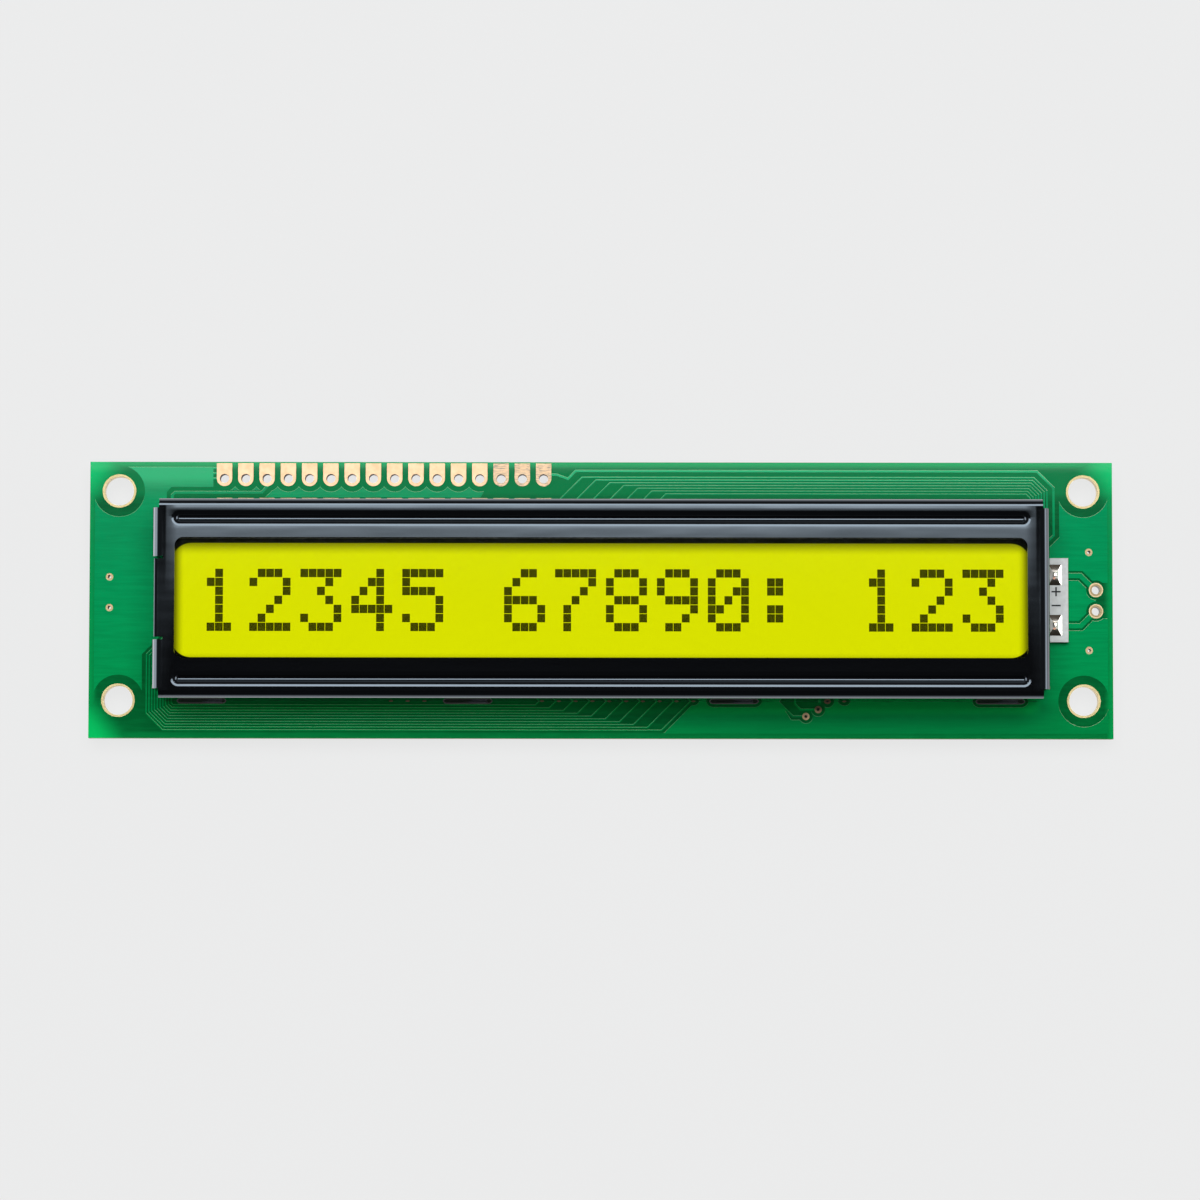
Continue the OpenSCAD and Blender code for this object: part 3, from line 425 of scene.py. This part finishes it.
def lit_film():
    """The rear film, glowing with painted backlight through the housing's opening and grey where the
    housing's rim backs it.
    """
    look = Look("lit_rear_film", Roughness=0.5, Specular_IOR_Level=0.0, Emission_Strength=1.0)
    side_x = look.size(look.axis("X"))
    along_y = look.minus(look.axis("Y"), LIT_Y)
    away_x = look.minus(side_x, LIT_HALF_L - LIT_CORNER_R)
    away_y = look.minus(look.size(along_y), LIT_HALF_W - LIT_CORNER_R)
    round_part = look.distance(look.larger(away_x, 0.0), look.larger(away_y, 0.0))
    flat_part = look.math("MINIMUM", look.larger(away_x, away_y), 0.0)
    depth = look.minus(LIT_CORNER_R, look.plus(round_part, flat_part))
    opening = look.span(depth, -0.04 * MM, 0.04 * MM)
    # Painted shade: the glow fades out at the ends and dims towards the far and near edges, most at the far
    # one
    end_fall = look.span(side_x, LIT_HALF_L - 1.6 * MM, LIT_HALF_L, 1.0, 0.0)
    far_fall = look.span(along_y, LIT_HALF_W - 1.5 * MM, LIT_HALF_W + 0.2 * MM, 1.0, 0.26)
    near_fall = look.span(along_y, -LIT_HALF_W - 0.2 * MM, -LIT_HALF_W + 0.6 * MM, 0.7, 1.0)
    glow = look.times(look.times(opening, end_fall), look.times(far_fall, near_fall))
    rim = look.mix(look.noise((0.1, 0.1, 0.1), 2), (0.11, 0.12, 0.15), (0.08, 0.09, 0.11))
    light = look.mix(look.noise((0.03, 0.08, 0.1), 2), (0.818, 0.880, 0.0), (0.798, 0.865, 0.0))
    return look.set(Base_Color=look.mix(opening, rim, (0.004, 0.005, 0.0)),
                    Emission_Color=look.mix(glow, (0.0, 0.0, 0.0), light))


def plain(name, dark, light, rough, per_mm=(2, 2, 2), bump=0.15, **settings):
    """Moulded, potted or pressed stuff: two near tones, a soft grain."""
    look = Look(name, Roughness=rough, **settings)
    grain = look.noise(per_mm, 4)
    look.bump(grain, bump)
    return look.set(Base_Color=look.mix(look.span(grain, 0.3, 0.7), dark, light))


LAYERS_PER_MM = 10.0


def zebra():
    """Rubber strip of white and black layers that stand side by side along it."""
    look = Look("zebra_strip", Roughness=0.6)
    layer = look.math("FRACT", look.times(look.axis("X"), LAYERS_PER_MM / MM))
    tone = look.mix(look.above(layer, 0.5), (0.62, 0.60, 0.56), (0.03, 0.03, 0.03))
    return look.set(Base_Color=tone)


dress(board_green(), "circuit_board")
dress(masked_copper(), "front_copper", "rear_copper")
dress(gold("gold_pads", 1.0, True), "header_pads")
# The mounting rings' pale wall tone is painted light inside their holes
dress(gold("gold_rings", 0.75, wall=(0.85, 0.72, 0.50), green=1.2), "mounting_rings")
dress(gold("gold_vias", 0.6, green=1.1), "vias", "spare_pads", "contact_pads")
dress(two_tone_terminals(), "terminal_rings")
dress(tin(), "slot_rims", "chip_ends")
dress(black_lacquer(), "bezel")
dress(clear_pane("front_film", (0.006, 0.007, 0.002), 0.04), "front_polarizer")
dress(clear_pane("cell_glass", (0.007, 0.012, 0.003), 0.03), "front_glass", "rear_glass")
dress(lit_film(), "rear_polarizer")
dress(plain("epoxy_seal", (0.25, 0.25, 0.22), (0.35, 0.35, 0.30), 0.5), "cell_seal")
dress(zebra(), "far_contact_strip", "near_contact_strip")
dress(plain("white_moulding", (0.66, 0.68, 0.68), (0.76, 0.78, 0.78), 0.45), "backlight_housing")
dress(plain("lit_diffuser", (0.6, 0.68, 0.02), (0.7, 0.78, 0.02), 0.4,
            Emission_Color=(0.9, 0.98, 0.0, 1.0), Emission_Strength=0.9), "diffuser")
dress(plain("lamp_laminate", (0.44, 0.435, 0.42), (0.50, 0.50, 0.485), 0.4), "backlight_board")
dress(plain("led_die", (0.8, 0.75, 0.1), (0.9, 0.85, 0.2), 0.3,
            Emission_Color=(0.9, 0.98, 0.0, 1.0), Emission_Strength=1.5), "led_dice")
dress(gold("copper_pin", 1.0), "backlight_pins")
dress(plain("potting_resin", (0.006, 0.006, 0.007), (0.012, 0.012, 0.013), 0.3, (1.2, 1.2, 1.2), 0.3),
      "controller_cap", "driver_cap")
dress(plain("chip_glaze", (0.010, 0.010, 0.012), (0.022, 0.022, 0.024), 0.25, (6, 6, 6)), "chip_bodies")


# ------------------------------------------------------------------- pieces

def mesh_piece(name, build, look):
    data = bpy.data.meshes.new(name)
    bm = bmesh.new()
    build(bm)
    bmesh.ops.recalc_face_normals(bm, faces=bm.faces)
    bm.to_mesh(data)
    bm.free()
    obj = bpy.data.objects.new(name, data)
    scene.collection.objects.link(obj)
    data.materials.append(look)
    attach(obj, "root")
    return obj


def quad(bm, x, y, z, w, h):
    """A level rectangle round a middle point."""
    signs = ((-1, -1), (1, -1), (1, 1), (-1, 1))
    bm.faces.new([bm.verts.new((x + sx * w / 2, y + sy * h / 2, z)) for sx, sy in signs])


# Dot patterns of plain numerals, five dots wide and seven high
NUMERALS = {
    "0": "01110 10001 10011 10101 11001 10001 01110",
    "1": "00100 01100 00100 00100 00100 00100 01110",
    "2": "01110 10001 00001 00010 00100 01000 11111",
    "3": "11111 00010 00100 00010 00001 10001 01110",
    "4": "00010 00110 01010 10010 11111 00010 00010",
    "5": "11111 10000 11110 00001 00001 10001 01110",
    "6": "00110 01000 10000 11110 10001 10001 01110",
    "7": "11111 00001 00010 00100 01000 01000 01000",
    "8": "01110 10001 10001 01110 10001 10001 01110",
    "9": "01110 10001 10001 01111 00001 00010 01100",
    ":": "00000 01100 01100 00000 01100 01100 00000",
}
SHOWN = "12345 67890: 123"
CELL_PITCH = 6.0 * MM
DOT_PITCH = (0.98 * MM, 1.06 * MM)
DOT_SIZE = (0.92 * MM, 0.99 * MM)
TEXT_Y = -0.45 * MM


def build_dots(bm):
    """The dark dots of every sign shown, between the two glasses."""
    z = (SEAL_LO.z + SEAL_HI.z) / 2
    for cell, sign in enumerate(SHOWN):
        cell_x = (cell - (len(SHOWN) - 1) / 2) * CELL_PITCH
        for row, line in enumerate(NUMERALS.get(sign, "").split()):
            for column, dot in enumerate(line):
                if dot == "1":
                    x = cell_x + (column - 2) * DOT_PITCH[0]
                    y = TEXT_Y + (3 - row) * DOT_PITCH[1]
                    quad(bm, x, y, z, *DOT_SIZE)


def dark_crystal():
    look = Look("dark_crystal", Roughness=0.6, Specular_IOR_Level=0.0, Alpha=0.93)
    tone = look.mix(look.noise((3, 3, 3), 2), (0.002, 0.003, 0.0004), (0.004, 0.005, 0.0006))
    return look.set(Base_Color=tone)


mesh_piece("display_dots", build_dots, dark_crystal())


PEAK_STEPS = 12
PEAK_TIP = 0.14
PEAK_HOLLOW = 1.7
LAMP_HEAP_REACH = (0.82 * MM, 1.24 * MM)
REAR_HEAP_REACH = (0.95 * MM, 0.95 * MM)


def hollow_peak(bm, centre, reach, sides, foot_z, peak_z):
    """A heap of solder with hollow flanks: a pyramid on a square pad, or a cone round a pin."""
    turn = math.pi / sides
    corner_reach = 1 / math.cos(turn) if sides == 4 else 1
    rings = []
    for step in range(PEAK_STEPS + 1):
        rise = step / PEAK_STEPS
        z = foot_z + (peak_z - foot_z) * rise
        share = (PEAK_TIP + (1 - PEAK_TIP) * (1 - rise) ** PEAK_HOLLOW) * corner_reach
        ring = []
        for i in range(sides):
            angle = 2 * math.pi * i / sides + turn
            x = centre[0] + reach[0] * share * math.cos(angle)
            y = centre[1] + reach[1] * share * math.sin(angle)
            ring.append(bm.verts.new((x, y, z)))
        rings.append(ring)
    for low, high in zip(rings, rings[1:]):
        for i in range(sides):
            j = (i + 1) % sides
            face = bm.faces.new((low[i], low[j], high[j], high[i]))
            face.smooth = True
            if sides == 4:
                bm.edges.get((low[i], high[i])).smooth = False
    bm.faces.new(rings[0])
    bm.faces.new(rings[-1])


def build_solder(bm):
    """Two heaps on the backlight's tab, and the two cones behind the board on the same pins."""
    pin_r = (PIN_HI.x - PIN_LO.x) / 2
    for side in (-1, 1):
        centre = (PIN_LO.x + pin_r, side * (PIN_HI.y - pin_r))
        hollow_peak(bm, centre, LAMP_HEAP_REACH, 4, LAMP_HI.z, JOINT_HI.z)
        hollow_peak(bm, centre, REAR_HEAP_REACH, 24, BOARD_LO.z, JOINT_LO.z)


MARK_X = 54.15 * MM
MARK_LIFT = 0.01 * MM
MARK_L = 1.10 * MM
MARK_W = 0.19 * MM
PLUS_Y = 1.0 * MM
MINUS_Y = -0.65 * MM


def build_marks(bm):
    """Plain polarity signs between the two heaps, the plus made of three bars that don't overlap."""
    z = LAMP_HI.z + MARK_LIFT
    arm = (MARK_L - MARK_W) / 2
    quad(bm, MARK_X, PLUS_Y, z, MARK_L, MARK_W)
    quad(bm, MARK_X, PLUS_Y - (arm + MARK_W) / 2, z, MARK_W, arm)
    quad(bm, MARK_X, PLUS_Y + (arm + MARK_W) / 2, z, MARK_W, arm)
    quad(bm, MARK_X, MINUS_Y, z, MARK_L, MARK_W)


solder = mesh_piece("solder_heaps", build_solder, solder_skin())
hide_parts("terminal_solder")
marking_ink = plain("marking_ink", (0.004, 0.004, 0.004), (0.010, 0.010, 0.010), 0.7)
mesh_piece("polarity_marks", build_marks, marking_ink)


# ------------------------------------------------------- floor, light, camera

def staged_plane(name, centre, size, material, hole=None):
    """A level rectangle, or a rectangular frame around a hole."""
    def corners(width, depth):
        return [(sx * width / 2, sy * depth / 2, 0) for sx, sy in ((-1, -1), (1, -1), (1, 1), (-1, 1))]

    data = bpy.data.meshes.new(name)
    if hole is None:
        data.from_pydata(corners(*size), [], [(0, 1, 2, 3)])
    else:
        around = [(i, (i + 1) % 4, (i + 1) % 4 + 4, i + 4) for i in range(4)]
        data.from_pydata(corners(*size) + corners(*hole), [], around)
    data.materials.append(material)
    obj = bpy.data.objects.new(name, data)
    obj.location = centre
    scene.collection.objects.link(obj)
    return obj


def floor_paint():
    """A pale light table, with a painted shadow only below the middle of the object."""
    look = Look("studio_floor", Roughness=0.9, Specular_IOR_Level=0.0, Emission_Strength=1.0)
    y = look.axis("Y")
    shade_x = look.span(look.size(look.axis("X")), BEZEL_END - 2.0 * MM, BEZEL_END + 2.2 * MM, 1.0, 0.0)
    shade_y = look.times(look.span(y, NEAR_WALL_Y - 4.55 * MM, NEAR_WALL_Y - 1.75 * MM),
                         look.span(y, FAR_WALL_Y + 0.55 * MM, FAR_WALL_Y + 1.15 * MM, 1.0, 0.0))
    shade = look.times(shade_x, shade_y)
    glow = look.mix(look.noise((0.02, 0.02, 0.02), 2), (0.768, 0.768, 0.768), (0.778, 0.778, 0.778))
    return look.set(Base_Color=look.mix(shade, (0.05, 0.05, 0.05), (0.03, 0.03, 0.03)),
                    Emission_Color=look.mix(shade, glow, (0.004, 0.006, 0.004)))


class Glow(Nodes):
    """A material that only shines."""

    def __init__(self, name, strength, colour=(1.0, 1.0, 1.0)):
        self.mat = bpy.data.materials.new(name)
        self.mat.use_nodes = True
        super().__init__(self.mat.node_tree)
        self.tree.nodes.clear()
        self.shader = self.node("ShaderNodeEmission")
        self.shader.inputs["Strength"].default_value = strength
        self.shader.inputs["Color"].default_value = (*colour, 1.0)
        self.link(self.shader.outputs[0], self.node("ShaderNodeOutputMaterial").inputs["Surface"])


SHEEN_TINT = (0.95, 0.97, 1.0)
SHEEN_SIDE = 1.6
FLOOR_SIDE = 8.0
LEFT_SHEEN_X = -0.365
LEFT_SHEEN_W = 0.6
footprint = (BOARD_HI.x - BOARD_LO.x, BOARD_HI.y - BOARD_LO.y)

# The sheens lie just above the floor and show only in gloss: the walls of the bezel mirror them
staged_plane("studio_floor", (0, 0, 0), (FLOOR_SIDE, FLOOR_SIDE), floor_paint())
sheen = staged_plane("floor_sheen", (0, 0, 0.05 * MM), (SHEEN_SIDE, SHEEN_SIDE),
                     Glow("floor_sheen", 2.1, SHEEN_TINT).mat, footprint)
left_sheen = staged_plane("left_sheen", (LEFT_SHEEN_X, 0, 0.10 * MM), (LEFT_SHEEN_W, SHEEN_SIDE),
                          Glow("left_sheen", 5.0, SHEEN_TINT).mat)
for plane in (sheen, left_sheen):
    plane.visible_camera = False
    plane.visible_diffuse = False
    plane.visible_shadow = False

CARD_TINT = (0.93, 0.98, 1.0)
CARD_RADIANCE = 9.5
CARD_FADE = ((0.0, 0.0), (0.020, 0.006), (0.037, 0.030), (0.0744, 0.275), (0.089, 0.79), (0.105, 1.0))
CARD_Z = 1.2
CARD_NEAR = 0.055
CARD_FAR = 0.70
CARD_WIDTH = 1.10


def soft_card():
    """A large soft light behind the camera, fading in from its near edge."""
    glow = Glow("soft_card", CARD_RADIANCE)
    ramp = glow.node("ShaderNodeValToRGB")
    glow.link(glow.split(glow.node("ShaderNodeTexCoord").outputs["Generated"])["Y"], ramp.inputs[0])
    glow.link(ramp.outputs[0], glow.shader.inputs["Color"])
    stops = ramp.color_ramp.elements
    stops.remove(stops[1])
    for position, share in CARD_FADE:
        stop = stops.new(position) if position else stops[0]
        stop.color = (*(share * part for part in CARD_TINT), 1.0)
    return glow.mat


card = staged_plane("soft_card", (0, (CARD_NEAR + CARD_FAR) / 2, CARD_Z), (CARD_WIDTH, CARD_FAR - CARD_NEAR),
                    soft_card())
card.rotation_euler = (math.pi, 0, 0)
card.scale.y *= -1
card.visible_camera = False


def add_world():
    """Dark overhead and behind the camera's near side, and bright low down on the left and right."""
    world = bpy.data.worlds.new("studio")
    scene.world = world
    world.use_nodes = True
    sky = Nodes(world.node_tree)
    across, along, height = sky.split(sky.node("ShaderNodeTexCoord").outputs["Generated"])
    near_dim = sky.span(along, -0.30, -0.05, 0.3, 1.0)
    low = sky.span(height, 0.12, 0.35, 0.9, 0.0)
    overhead = sky.times(sky.span(height, 0.90, 0.99, 0.14, 0.05), near_dim)
    sides = sky.times(sky.span(sky.size(across), 0.75, 0.92, 0.0, 5.0),
                      sky.span(height, 0.22, 0.45, 1.0, 0.0))
    background = sky.tree.nodes["Background"]
    background.inputs["Color"].default_value = (0.93, 0.97, 1.0, 1.0)
    sky.link(sky.plus(sky.plus(low, sides), overhead), background.inputs["Strength"])


add_world()

# The camera hangs just in front of the board's near edge and looks down at its middle
TARGET = Vector((-0.12 * MM, 0.02 * MM, BOARD_HI.z))
EYE = Vector((-0.12 * MM, -36.9 * MM, BOARD_HI.z + 557 * MM))
FRAME_WIDTH = 143.06 * MM
ROLL = math.radians(0.065)

camera_data = bpy.data.cameras.new("camera")
camera_data.sensor_fit = "HORIZONTAL"
camera_data.angle = 2 * math.atan(FRAME_WIDTH / 2 / (EYE - TARGET).length)
camera_data.clip_start = 0.01
camera_data.clip_end = 20
camera = bpy.data.objects.new("camera", camera_data)
scene.collection.objects.link(camera)
aim = (TARGET - EYE).to_track_quat("-Z", "Y").to_matrix().to_4x4()
camera.matrix_world = Matrix.Translation(EYE) @ aim @ Matrix.Rotation(ROLL, 4, "Z")
bpy.context.scene.camera = camera
